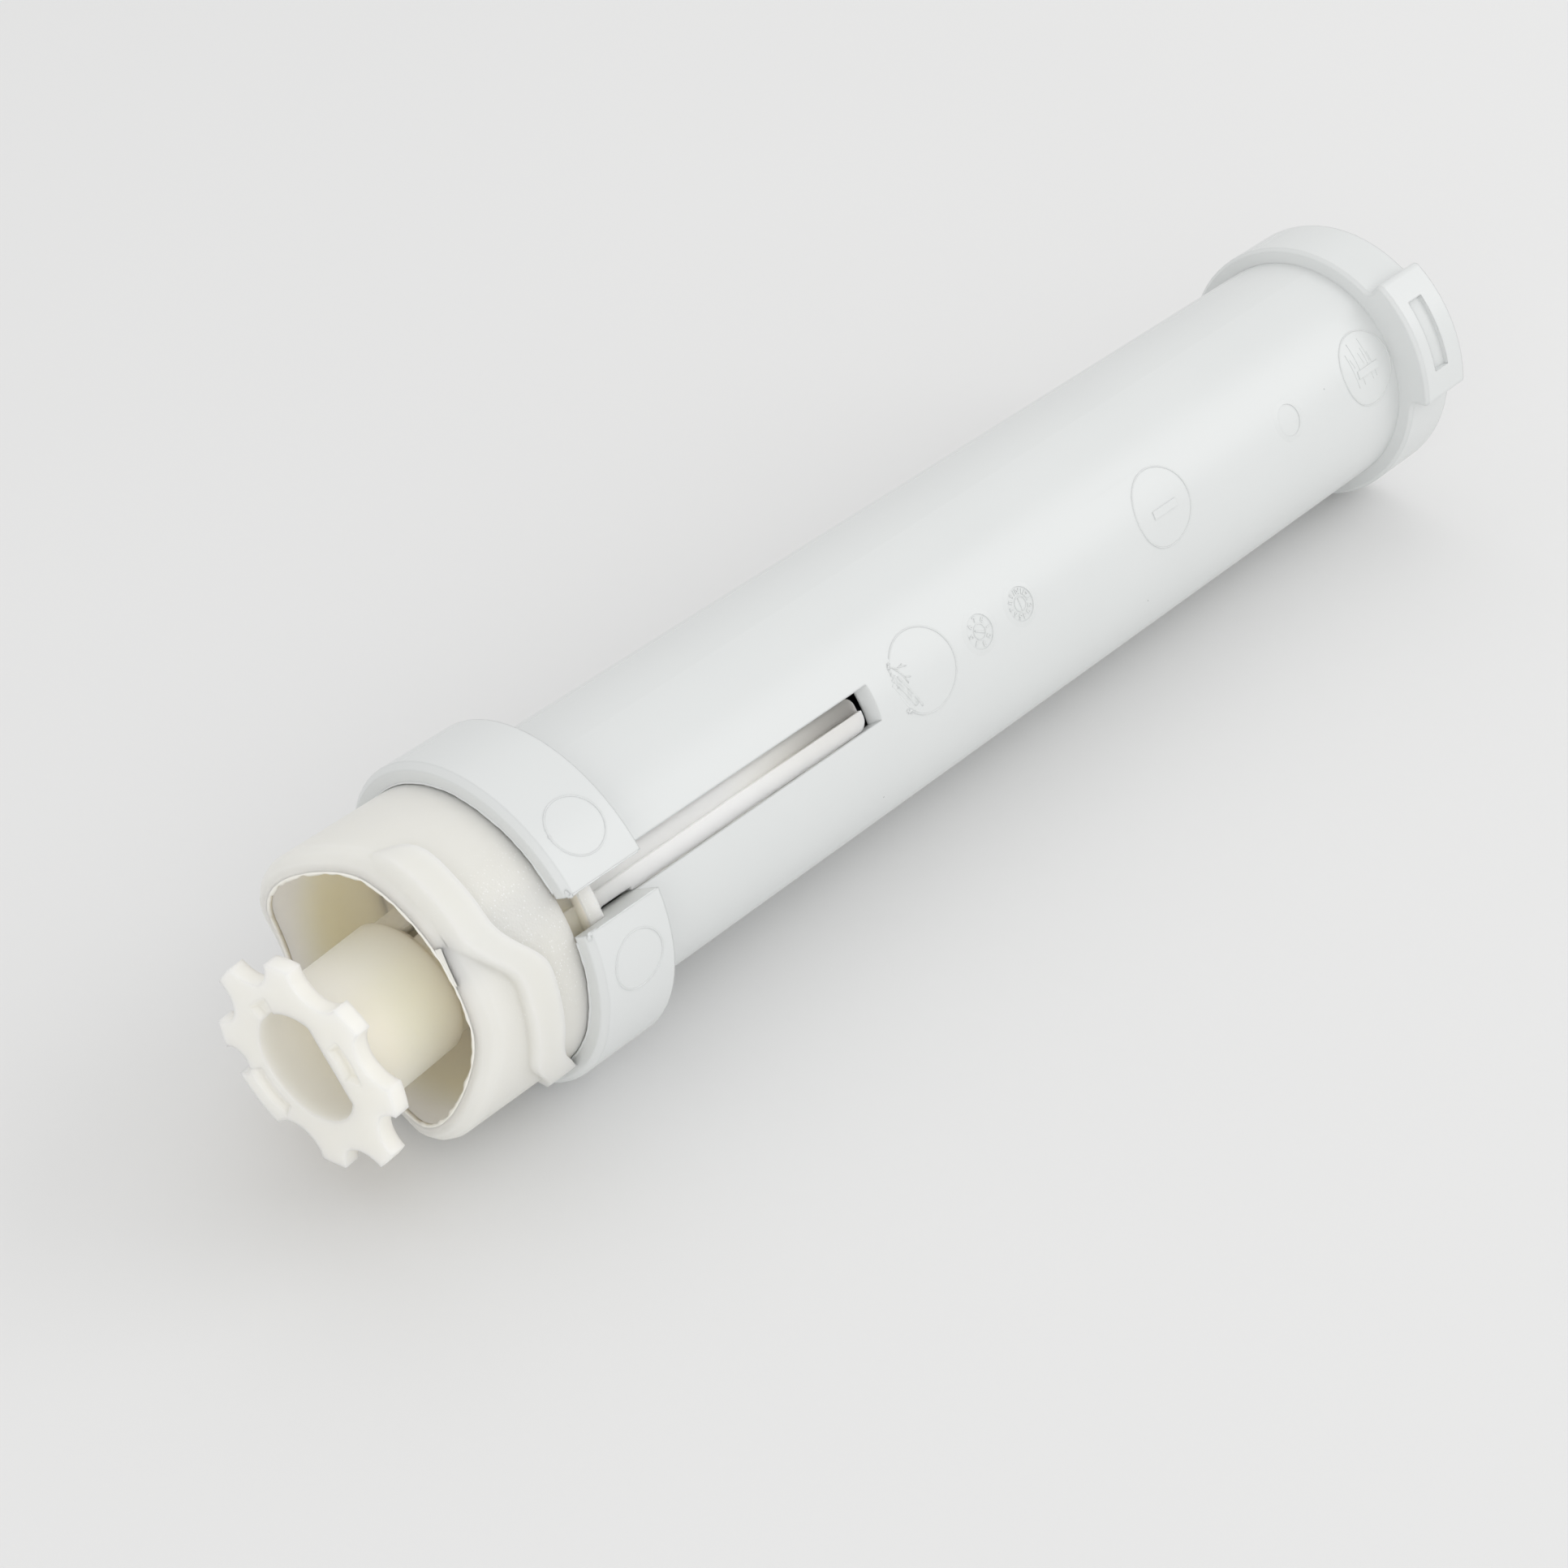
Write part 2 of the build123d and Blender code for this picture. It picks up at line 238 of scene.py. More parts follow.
whiteFinish = {
    "light": (0.738, 0.754, 0.748, 1),
    "dark": (0.715, 0.731, 0.726, 1),
    "speck": (0.30, 0.31, 0.31, 1),
    "roughness": 0.34,
    "edge": 0.6 * mm,
}
markFinish = dict(whiteFinish, edge=0.05 * mm)


def makeWhitePlastic(name, finish):
    material, tree, shader = startMaterial(name)
    skin = placeGroup(
        tree, skinGroup, GrainScale=2600.0, FlowScale=45.0, Roughness=finish["roughness"], RoughnessSpread=0.1,
    )
    wear = placeGroup(tree, wearGroup, SpeckScale=140.0, SpeckSize=0.022, DragScale=700.0)
    colour = mixColours(tree, skin.outputs["Tone"], finish["dark"], finish["light"])
    colour = mixColours(tree, wear.outputs["Specks"], colour, finish["speck"])
    join(tree, colour, shader.inputs["Base Color"])
    drag = mathNode(tree, "MULTIPLY", wear.outputs["Drag"], 0.12)
    join(tree, mathNode(tree, "ADD", skin.outputs["Roughness"], drag), shader.inputs["Roughness"])
    roundedNormal(tree, shader, skin.outputs["Height"], 0.12, 0.02 * mm, finish["edge"])
    shader.inputs["IOR"].default_value = 1.5
    return material


# uncoloured resin, ivory; the colours below also paint light and shade: a lighter inside colour in the bore and
# along the tail, and a tan toward the socket's floor, for light carried through the translucent walls;
# highlight dots on the sleeve's grain; and a dark shade over the keys toward the rear
insertFinish = {
    "light": (0.772, 0.767, 0.728, 1),
    "dark": (0.752, 0.746, 0.704, 1),
    "inside": (0.970, 0.955, 0.900, 1),
    "deep": (0.988, 0.884, 0.735, 1),
    "paintedGlint": (0.855, 0.855, 0.832, 1),
    "shade": (0.300, 0.290, 0.270, 1),
    "scatter": 1.0,
    "roughness": 0.40,
    "edge": 1.5 * mm,
    "keyEdge": 0.4 * mm,
    "boreRadius": 23.5 * mm,
    "deepStart": -22 * mm,
    "deepEnd": -12 * mm,
    "sleeveRadius": 27.3 * mm,
    "sparkScale": 2400.0,
    "sparkTurns": (14.0, 40.0, 76.0, 96.0),
    "sparkStart": -17 * mm,
    "sparkFade": 6 * mm,
    "socketFloor": (7 * mm, 3 * mm),
    "keyShade": (40 * mm, 78 * mm),
    "neckAlong": (0.1 * mm, 0.6 * mm),
    "neckRadius": (27.0 * mm, 26.0 * mm),
    "tailAlong": (4 * mm, 8 * mm),
    "keyStart": (4 * mm, 1 * mm),
}
# painted light on the spindle too: a lighter inside colour and a tan painted toward the socket's floor, over
# its own range along the tube
spindleFinish = dict(
    insertFinish, light=(0.825, 0.815, 0.762, 1), dark=(0.81, 0.80, 0.742, 1),
    inside=(0.835, 0.824, 0.768, 1), deep=(0.960, 0.892, 0.738, 1),
    edge=0.9 * mm, deepStart=-44 * mm, deepEnd=-24 * mm,
)
# the rim's marks have no scatter; their bore is still painted in a lighter inside colour and their rear in
# painted shade, as on the insert
rimFinish = dict(
    insertFinish, light=(0.85, 0.84, 0.79, 1), inside=(0.94, 0.925, 0.87, 1),
    edge=0.1 * mm, keyEdge=0.1 * mm, scatter=0.0,
)


def makeNaturalPlastic(name, finish):
    material, tree, shader = startMaterial(name)
    skin = placeGroup(
        tree, skinGroup, GrainScale=1800.0, FlowScale=70.0, Roughness=finish["roughness"], RoughnessSpread=0.12,
    )
    place = placeGroup(tree, placeGroupTree)
    along, offAxis, turn = (place.outputs[label] for label in ("Along", "OffAxis", "Turn"))
    colour = mixColours(tree, skin.outputs["Tone"], finish["dark"], finish["light"])
    # painted light and shade: the bore takes the lighter inside colour with a tan painted toward the socket's
    # floor, then a painted shade darkens the inner surfaces over the keys toward the rear; the tail is painted
    # in the lighter inside colour
    bore, sleeveRadius = finish["boreRadius"], finish["sleeveRadius"]
    inner = rampNode(tree, offAxis, bore + 1.1 * mm, bore + 0.1 * mm)
    deep = rampNode(tree, along, finish["deepStart"], finish["deepEnd"])
    behind = rampNode(tree, along, *finish["socketFloor"])
    paintedBoreShading = mixColours(tree, mathNode(tree, "MULTIPLY", deep, behind), finish["inside"], finish["deep"])
    paintedBoreShading = mixColours(tree, rampNode(tree, along, *finish["keyShade"]), paintedBoreShading, finish["shade"])
    # painted light: the neck groove between the sleeve and the post is painted tan, for light carried into it
    # through the resin
    neck = rampNode(tree, along, *finish["neckAlong"])
    neck = mathNode(tree, "MULTIPLY", neck, rampNode(tree, offAxis, *finish["neckRadius"]))
    colour = mixColours(tree, neck, colour, finish["deep"])
    # painted light: the tail past the nose is painted in the lighter inside colour
    colour = mixColours(tree, rampNode(tree, along, *finish["tailAlong"]), colour, finish["inside"])
    colour = mixColours(tree, inner, colour, paintedBoreShading)
    # spark-eroded grain on the sleeve between the ramp and the collar: bump pits, with painted highlight dots
    # on a share of them
    spark = addNode(tree, "ShaderNodeTexVoronoi", feature="F1")
    spark.inputs["Scale"].default_value = finish["sparkScale"]
    join(tree, addNode(tree, "ShaderNodeTexCoord").outputs["Object"], spark.inputs["Vector"])
    sleeve = rampNode(tree, offAxis, sleeveRadius - 0.4 * mm, sleeveRadius - 0.1 * mm)
    ramp = rampNode(tree, offAxis, sleeveRadius + 0.2 * mm, sleeveRadius + 0.5 * mm)
    first, full, fade, last = finish["sparkTurns"]
    rising, falling = rampNode(tree, turn, first, full), rampNode(tree, turn, fade, last)
    near = mathNode(tree, "SUBTRACT", rising, falling, clamp=True)
    rear = rampNode(tree, along, finish["sparkStart"], finish["sparkStart"] + finish["sparkFade"])
    near = mathNode(tree, "MULTIPLY", near, rear)
    grainy = mathNode(tree, "MULTIPLY", mathNode(tree, "SUBTRACT", sleeve, ramp, clamp=True), near)
    pits = mathNode(tree, "MULTIPLY", spark.outputs["Distance"], grainy)
    height = mathNode(tree, "ADD", pits, mathNode(tree, "MULTIPLY", skin.outputs["Height"], 0.12))
    rough = mathNode(tree, "SUBTRACT", skin.outputs["Roughness"], mathNode(tree, "MULTIPLY", grainy, 0.08))
    join(tree, rough, shader.inputs["Roughness"])
    pick = addNode(tree, "ShaderNodeSeparateColor")
    join(tree, spark.outputs["Color"], pick.inputs[0])
    # painted highlight: a share of the pits get a lighter colour, for sparkles of light on the grain
    dots = mathNode(tree, "LESS_THAN", spark.outputs["Distance"], 0.34)
    paintedGlint = mathNode(tree, "MULTIPLY", dots, mathNode(tree, "GREATER_THAN", pick.outputs[0], 0.78))
    colour = mixColours(tree, mathNode(tree, "MULTIPLY", paintedGlint, grainy), colour, finish["paintedGlint"])
    join(tree, colour, shader.inputs["Base Color"])
    # the keys in the slots keep crisper edges than the nose
    front = rampNode(tree, along, *finish["keyStart"])
    wider = mathNode(tree, "MULTIPLY", front, finish["edge"] - finish["keyEdge"])
    edge = mathNode(tree, "ADD", wider, finish["keyEdge"])
    roundedNormal(tree, shader, height, 0.5, 0.10 * mm, edge)
    shader.inputs["IOR"].default_value = 1.49
    shader.inputs["Subsurface Weight"].default_value = finish["scatter"]
    shader.inputs["Subsurface Radius"].default_value = (1.0, 1.0, 1.0)
    shader.inputs["Subsurface Scale"].default_value = 6 * mm
    return material


whitePlastic = makeWhitePlastic("coolWhiteMoulding", whiteFinish)
whiteMark = makeWhitePlastic("coolWhiteMark", markFinish)
insertPlastic = makeNaturalPlastic("naturalInsertMoulding", insertFinish)
spindlePlastic = makeNaturalPlastic("naturalSpindleMoulding", spindleFinish)
naturalMark = makeNaturalPlastic("naturalRimMark", rimFinish)
finishes = {
    "outer_tube": whitePlastic,
    "end_plug": whitePlastic,
    "bayonet_insert": insertPlastic,
    "key_spindle": spindlePlastic,
}
for nodeName, finish in finishes.items():
    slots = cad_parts[nodeName].data.materials
    slots.clear()
    slots.append(finish)
print("finishes on", len(finishes), "mouldings")


# moulding marks: low forms that follow a round wall, placed by (along the tube, round it, height)
class Wall:
    def __init__(self, x, turn, radius):
        self.x, self.turn, self.radius = x, turn, radius

    def point(self, along, around, height):
        return onTube(self.x + along, self.turn + degrees(around / self.radius), self.radius + height)


def addSkin(mesh, rings, closed=False):
    # faces through rings of as many points, capped unless the last ring meets the first
    loops = [[mesh.verts.new(point) for point in ring] for ring in rings]
    pairs = list(zip(loops, loops[1:]))
    if closed:
        pairs.append((loops[-1], loops[0]))
    for first, second in pairs:
        for corner, follow in zip(range(len(first)), [*range(1, len(first)), 0]):
            mesh.faces.new((first[corner], second[corner], second[follow], first[follow]))
    if not closed:
        mesh.faces.new(loops[0])
        mesh.faces.new(list(reversed(loops[-1])))


def addRidge(mesh, wall, path, width, height, closed=False, sink=0.12 * mm):
    # a closed bead swept along a path of (along, around) places; height may change along it
    count = len(path)
    rings = []
    for index, (along, around) in enumerate(path):
        before = path[index - 1] if closed or index else path[index]
        after = path[(index + 1) % count] if closed or index < count - 1 else path[index]
        heading = atan2(after[1] - before[1], after[0] - before[0])
        rise = height(index / count) if callable(height) else height
        rings.append([
            wall.point(along - sin(heading) * offset * width, around + cos(heading) * offset * width, level)
            for offset, level in ((-0.5, -sink), (-0.28, rise), (0.28, rise), (0.5, -sink))
        ])
    addSkin(mesh, rings, closed)


def addDisc(mesh, wall, radius, height, slope, sink=0.15 * mm, rows=8, steps=96):
    # a low disc with a sloped edge; its height may change with the turn
    rings = []
    crest = radius - slope
    middle = height(0.0)
    reaches = [crest * row / (rows + 1) for row in range(1, rows + 1)] + [crest - 0.04 * mm, crest, radius]
    for reach in reaches:
        ring = []
        for step in range(steps):
            turn = 2 * pi * step / steps
            level = middle + (height(turn) - middle) * (reach / crest) ** 6 if reach < radius else -sink
            ring.append(wall.point(reach * cos(turn), reach * sin(turn), level))
        rings.append(ring)
    addSkin(mesh, rings)


def addLump(mesh, place, axes, sizes, seed, rough=0.35):
    # an uneven drop of burr
    for corner in bmesh.ops.create_icosphere(mesh, subdivisions=3, radius=1.0)["verts"]:
        bulge = 1 + rough * noise.noise(corner.co * 1.9 + Vector((seed, 1.7 * seed, 0)))
        local = corner.co * bulge
        steps = (axis * size * part for axis, size, part in zip(axes, sizes, local))
        corner.co = place + sum(steps, Vector())


def wallAxes(wall):
    return Vector((1, 0, 0)), outward(wall.turn + 90), outward(wall.turn)


def ripple(share, seed, waves=((3, 0.5), (7, 0.3), (17, 0.2))):
    # an even 0 to 1 wander along a line
    phase = share + 0.37 * seed
    return 0.5 + 0.5 * sum(size * sin(2 * pi * count * phase) for count, size in waves)


def circlePath(radius, steps=96, start=0.0, end=360.0):
    full = end - start >= 360.0
    last = steps if full else steps - 1
    turns = [radians(start + (end - start) * step / last) for step in range(steps)]
    return [(radius * cos(turn), radius * sin(turn)) for turn in turns]


def finishPiece(name, mesh, material=whiteMark, body="housing", smooth=True):
    bmesh.ops.recalc_face_normals(mesh, faces=mesh.faces)
    data = bpy.data.meshes.new(name)
    mesh.to_mesh(data)
    mesh.free()
    data.materials.append(material)
    for face in data.polygons:
        face.use_smooth = smooth
    piece = bpy.data.objects.new(name, data)
    bpy.context.scene.collection.objects.link(piece)
    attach(piece, body)
    return piece


# witness discs of the mould's pins, in the line of the slot and on the collar
# the front one is scraped where the gate was
witness = {
    "slope": 0.16 * mm,
    "height": 0.05 * mm,
    "rimWidth": 0.34 * mm,
    "arcWidth": 0.42 * mm,
    "places": {
        "witnessDiscFront": (92.6 * mm, 57.0, 25 * mm, 8.0 * mm, (60, 135)),
        "witnessDiscMiddle": (164.6 * mm, 57.0, 25 * mm, 8.0 * mm, (165, 250)),
        "witnessDiscRear": (235.2 * mm, 57.0, 25 * mm, 7.9 * mm, (150, 230)),
        "witnessDiscCollarUpper": (8.8 * mm, 33.0, collarRadius, 5.35 * mm, (45, 195)),
        "witnessDiscCollarLower": (8.8 * mm, 80.5, collarRadius, 5.35 * mm, (95, 205)),
    },
    "burrs": ((0.94, 0.24), (0.88, 0.17), (0.71, 0.13)),
    "figure": ("1", -0.2 * mm, 0.6 * mm, 9.5 * mm),
}
for seed, (name, (x, turn, wallRadius, radius, (arcStart, arcEnd))) in enumerate(witness["places"].items()):
    mesh = bmesh.new()
    wall = Wall(x, turn, wallRadius)

    def discHeight(turn, seed=seed):
        rise = witness["height"] * (0.9 + 0.25 * cos(turn - radians(200)) + 0.2 * sin(2 * turn + seed))
        return 0.02 * mm if seed == 0 and radians(138) < turn < radians(222) else rise

    def arcHeight(share, seed=seed):
        wander = ripple(share, 0.7 + seed, ((2, 0.4), (5, 0.35), (11, 0.25)))
        return (0.03 + 0.17 * wander * sin(pi * share)) * mm

    def rimHeight(share, seed=seed):
        scraped = seed == 0 and 138 < 360 * share < 222
        return (-0.05 if scraped else 0.15 + 0.05 * ripple(share, 1.9 + seed)) * mm

    addDisc(mesh, wall, radius, discHeight, witness["slope"])
    addRidge(mesh, wall, circlePath(radius, 120), witness["rimWidth"], rimHeight, closed=True)
    addRidge(mesh, wall, circlePath(radius, 60, arcStart, arcEnd), witness["arcWidth"], arcHeight)
    for spot, (share, size) in enumerate(witness["burrs"] if "Collar" in name else ()):
        angle = radians(arcStart + (arcEnd - arcStart) * share)
        place = wall.point(radius * cos(angle), radius * sin(angle), 0.0)
        sizes = (size * mm, 1.5 * size * mm, 0.8 * size * mm)
        addLump(mesh, place, wallAxes(wall), sizes, seed + 0.6 * spot, 0.8)
    finishPiece(name, mesh)
print("witness discs:", len(witness["places"]))

# the torn sprue gate over the front disc: chiselled strips, a blob at their end, a flake and cracks below
scar = {
    "wall": Wall(92.6 * mm, 57.0, 25 * mm),
    "strip": ((-7.3, -2.0), (-4.0, 5.2)),
    "bands": (
        (0.0, 1.7, 0.13), (0.62, 0.5, 0.24), (0.05, 0.45, 0.19), (-0.55, 0.4, 0.20), (-1.35, 0.7, 0.07),
    ),
    "blob": ((-6.6, 5.1, 0.45, 0.4, 0.3), (-6.1, 5.5, 0.35, 0.25, 0.25), (-7.0, 4.8, 0.3, 0.3, 0.2)),
    "flake": ((-7.15, -3.9, 0.35, 0.4, 0.16), (-7.4, -3.2, 0.2, 0.5, 0.14), (-6.9, -4.5, 0.3, 0.25, 0.2)),
    "cracks": (
        ((-7.2, -4.0), (-5.6, -2.9), (-4.2, -3.2)), ((-6.4, -3.4), (-5.2, -1.6), (-4.6, 0.4)),
        ((-5.4, -3.0), (-3.4, -2.5)), ((-7.5, -2.8), (-6.9, -1.4), (-7.3, 0.2)), ((-4.9, -1.0), (-3.6, -0.4)),
    ),
}
mesh = bmesh.new()
(startAlong, startAround), (endAlong, endAround) = scar["strip"]
heading = atan2(endAround - startAround, endAlong - startAlong)
for seed, (shift, width, height) in enumerate(scar["bands"]):
    path = []
    for step in range(25):
        share = 0.1 * sin(2.1 * seed) + (0.94 + 0.06 * sin(1.3 * seed)) * step / 24
        sway = shift + 0.12 * (ripple(share, seed + 0.3) - 0.5)
        along = startAlong + (endAlong - startAlong) * share + sin(heading) * sway
        around = startAround + (endAround - startAround) * share - cos(heading) * sway
        path.append((along * mm, around * mm))

    def bandHeight(share, seed=seed, height=height):
        return height * mm * (0.35 + 0.9 * ripple(share, seed))

    addRidge(mesh, scar["wall"], path, width * mm, bandHeight)
for crack in scar["cracks"]:
    addRidge(mesh, scar["wall"], [(along * mm, around * mm) for along, around in crack], 0.3 * mm, 0.17 * mm)
for seed, (along, around, *sizes) in enumerate(scar["blob"] + scar["flake"]):
    place = scar["wall"].point(along * mm, around * mm, 0.0)
    addLump(mesh, place, wallAxes(scar["wall"]), [size * mm for size in sizes], 4.0 + seed, 0.8)
finishPiece("gateScar", mesh)

# fine drag scratches inside the rear disc
scratches = {"wall": Wall(235.2 * mm, 57.0, 25.08 * mm), "count": 7, "width": 0.12 * mm, "height": 0.045 * mm}
mesh = bmesh.new()
for line in range(scratches["count"]):
    reach = (-4.6 + 1.15 * line + 0.5 * sin(5.0 * line)) * mm
    low = (-4.5 + 1.8 * sin(2.3 * line)) * mm
    high = (1.0 + 2.4 * sin(1.1 + 3.1 * line)) * mm
    path = [(reach + 0.5 * mm * step / 12, low + (high - low) * step / 12) for step in range(13)]
    addRidge(mesh, scratches["wall"], path, scratches["width"], scratches["height"], sink=0.2 * mm)
finishPiece("rearDragLines", mesh)
print("gate scar and drag lines done")

# dials that date the moulding: plain numbers round a pointer, and one bare disc
dials = {
    "rim": 3.3 * mm,
    "hub": 1.45 * mm,
    "figureRing": 2.35 * mm,
    "figureSize": 1.4 * mm,
    "width": 0.26 * mm,
    "height": 0.2 * mm,
    "apron": 1.7 * mm,
    "places": {
        "dialOfEight": (108.4 * mm, 8, 30.0),
        "dialOfTwelve": (120.3 * mm, 12, 90.0),
        "dialBare": (207.1 * mm, 0, 0.0),
    },
}


def addFigure(mesh, wall, label, along, around, lean, size, height, sink=0.1 * mm):
    # a raised number bent to the wall
    letters = bpy.data.curves.new("figure", "FONT")
    letters.body = label
    letters.align_x = "CENTER"
    letters.align_y = "CENTER"
    letters.resolution_u = 2
    letters.extrude = 0.5
    letters.offset = 0.035
    holder = bpy.data.objects.new("figure", letters)
    flat = bpy.data.meshes.new_from_object(holder)
    corners = []
    for corner in flat.vertices:
        across, up, level = corner.co
        reach = (-across * cos(lean) - up * sin(lean), -across * sin(lean) + up * cos(lean))
        rise = height if level > 0 else -sink
        corners.append(mesh.verts.new(wall.point(along + size * reach[0], around + size * reach[1], rise)))
    for face in flat.polygons:
        mesh.faces.new([corners[index] for index in face.vertices])
    bpy.data.objects.remove(holder)
    bpy.data.curves.remove(letters)
    bpy.data.meshes.remove(flat)


for name, (x, figures, pointer) in dials["places"].items():
    mesh = bmesh.new()
    wall = Wall(x, 57.0, tube["radius"])

    # the wall rises gently to the rim and drops steeply inside it, so the dial looks sunk
    profile = (
        (dials["apron"], -0.12 * mm), (0.04 * mm, dials["height"]), (0.0, dials["height"]),
        (-0.07 * mm, -0.12 * mm), (0.4 * mm, -0.2 * mm),
    )
    circle = [(dials["rim"] + out, level) for out, level in profile]
    rings = [
        [wall.point(reach * cos(turn), reach * sin(turn), level) for reach, level in circle]
        for turn in (2 * pi * step / 72 for step in range(72))
    ]
    addSkin(mesh, rings, closed=True)
    if figures:
        hub = circlePath(dials["hub"], 40)
        addRidge(mesh, wall, hub, 0.8 * dials["width"], 0.7 * dials["height"], closed=True)
        arm = radians(pointer)
        tip = (0.8 * dials["hub"] * cos(arm), 0.8 * dials["hub"] * sin(arm))
        addRidge(mesh, wall, [(-tip[0], -tip[1]), tip], 1.6 * dials["width"], dials["height"])
    for figure in range(figures):
        turn = 2 * pi * figure / figures
        place = (dials["figureRing"] * cos(turn), dials["figureRing"] * sin(turn))
        lean, rise = turn - pi / 2, 0.8 * dials["height"]
        addFigure(mesh, wall, str(figure + 1), *place, lean, dials["figureSize"], rise)
    finishPiece(name, mesh, smooth=False)
for discName in ("witnessDiscMiddle", "witnessDiscRear"):
    mesh = bmesh.new()
    label, along, around, size = witness["figure"]
    x, turn, wallRadius = witness["places"][discName][:3]
    addFigure(mesh, Wall(x, turn, wallRadius), label, along, around, -pi / 2, size, 0.26 * mm)
    finishPiece(discName + "Figure", mesh, smooth=False)
print("dials:", len(dials["places"]))

# parting lines of the two mould halves, a quarter turn from the slots
parting = {"width": 0.34 * mm, "height": 0.075 * mm, "steps": 120}
runs = (
    ("Tube", tube["collarLength"], tube["bellFront"], tube["radius"]),
    ("Collar", 1.3 * mm, tube["collarLength"], collarRadius),
    ("Bell", tube["bellFront"] + 0.9 * mm, rearEnd - 0.5 * mm, tube["bellRadius"]),
)
for side, turn in (("Near", tube["slotTurn"] + 90), ("Far", tube["slotTurn"] - 90)):
    for label, start, end, radius in runs:
        mesh = bmesh.new()
        length = end - start
        path = [(length * step / parting["steps"], 0.0) for step in range(parting["steps"] + 1)]

        def partingHeight(share):
            return parting["height"] * (0.7 + 0.5 * ripple(share, 2.0, ((5, 0.5), (13, 0.3), (31, 0.2))))

        addRidge(mesh, Wall(start, turn, radius), path, parting["width"], partingHeight)
        finishPiece("partingLine" + label + side, mesh)
print("parting lines done")

# sloped faces of the plug's catches, out to the edges of the bell's windows
catch = {
    "start": 247.8 * mm,
    "length": 4.6 * mm,
    "low": 30.13 * mm,
    "high": 31.13 * mm,
    "span": 28.0,
    "steps": 25,
    "deep": 0.6 * mm,
}
for side, middle in slotSides:
    mesh = bmesh.new()
    end = catch["start"] + catch["length"]
    section = (
        (catch["start"], catch["low"]), (end, catch["high"]),
        (end, catch["high"] - catch["deep"]), (catch["start"], catch["low"] - catch["deep"]),
    )
    turns = [middle + catch["span"] * (step / (catch["steps"] - 1) - 0.5) for step in range(catch["steps"])]
    addSkin(mesh, [[onTube(x, turn, rise) for x, rise in section] for turn in turns])
    finishPiece("catchFace" + side, mesh, smooth=False)
print("catch faces done")

# thin flash on the collar's front edge, on each half between the slots
flash = {"bore": tube["collarBore"], "steps": 150, "reach": 0.34 * mm, "lip": 0.10 * mm, "gap": 9.5}
for half, middle in (("Upper", tube["slotTurn"] - 90), ("Lower", tube["slotTurn"] + 90)):
    mesh = bmesh.new()
    rings = []
    for step in range(flash["steps"]):
        share = step / (flash["steps"] - 1)
        turn = middle + (share - 0.5) * (180 - 2 * flash["gap"])
        reach = flash["reach"] * (0.12 + 0.88 * ripple(share, 1.3, ((5, 0.45), (12, 0.3), (29, 0.25))))
        section = (
            (0.3 * mm, 0.25 * mm), (-0.02 * mm, 0.34 * mm), (-reach, 0.05 * mm),
            (-0.8 * reach, -0.5 * flash["lip"]), (0.3 * mm, -0.5 * flash["lip"]),
        )
        rings.append([onTube(x, turn, flash["bore"] + rise) for x, rise in section])
    addSkin(mesh, rings)
    finishPiece("collarFlash" + half, mesh)
print("collar flash done")

# burr along the collar's slot edges, with lumps at the front corners and a hooked lip at the rear
burr = {
    "rise": sqrt(collarRadius ** 2 - tube["slotHalf"] ** 2),
    "size": 0.22 * mm,
    "steps": 60,
    "lumps": ((0.75, -0.05, 0.50, 0.34, 0.30), (0.25, -0.55, 0.26, 0.60, 0.30), (1.7, 0.05, 0.7, 0.2, 0.2)),
}
for face, slotTurn in slotSides:
    for half, sign in slotHalves:
        mesh = bmesh.new()
        rings = []
        for step in range(burr["steps"]):
            share = step / (burr["steps"] - 1)
            x = 1.0 * mm + (tube["collarLength"] - 1.6 * mm) * share
            size = burr["size"] * (0.25 + 0.75 * ripple(share, sign + 0.4, ((3, 0.5), (8, 0.3), (19, 0.2))))
            section = (
                (size, 0.0), (0.3 * size, 0.7 * size), (-size, 0.5 * size), (-size, -size), (0.3 * size, -size),
            )
            rings.append([
                atSlot(x, sign * (tube["slotHalf"] - across), burr["rise"] + rise, slotTurn)
                for across, rise in section
            ])
        addSkin(mesh, rings)
        axes = (Vector((1, 0, 0)), outward(slotTurn + 90), outward(slotTurn))
        for seed, (x, across, *sizes) in enumerate(burr["lumps"]):
            side = sign * (tube["slotHalf"] - across * mm)
            place = atSlot(x * mm, side, burr["rise"] - 0.25 * mm, slotTurn)
            addLump(mesh, place, axes, [size * mm for size in sizes], 2.0 + 1.3 * seed + sign, 0.9)
        finishPiece("collarSlotBurr" + face + half, mesh)
print("slot burrs done")

# strips of natural resin sunk in the gaps between the keys and the slots, so that each gap shows as a brown
# shaded line; painted shade in the material darkens them toward the rear
slotGapShadeStrip = {
    "start": 17 * mm,
    "length": 56 * mm,
    "side": 3.4 * mm,
    "half": 0.13 * mm,
    "low": 22.6 * mm,
    "high": 23.75 * mm,
    "steps": 80,
}
for face, slotTurn in slotSides:
    for half, sign in slotHalves:
        mesh = bmesh.new()
        rings = []
        for step in range(slotGapShadeStrip["steps"]):
            share = step / (slotGapShadeStrip["steps"] - 1)
            high = slotGapShadeStrip["high"] + 0.3 * mm * ripple(share, 0.6 + sign, ((3, 0.5), (9, 0.3), (23, 0.2)))
            x = slotGapShadeStrip["start"] + slotGapShadeStrip["length"] * share
            inside = sign * (slotGapShadeStrip["side"] - slotGapShadeStrip["half"])
            outside = sign * (slotGapShadeStrip["side"] + slotGapShadeStrip["half"])
            low = slotGapShadeStrip["low"]
            corners = ((inside, low), (inside, high), (outside, high), (outside, low))
            rings.append([atSlot(x, side, rise, slotTurn) for side, rise in corners])
        addSkin(mesh, rings)
        finishPiece("slotGapShadeStrip" + face + half, mesh, naturalMark)
print("slot gap shade strips done")

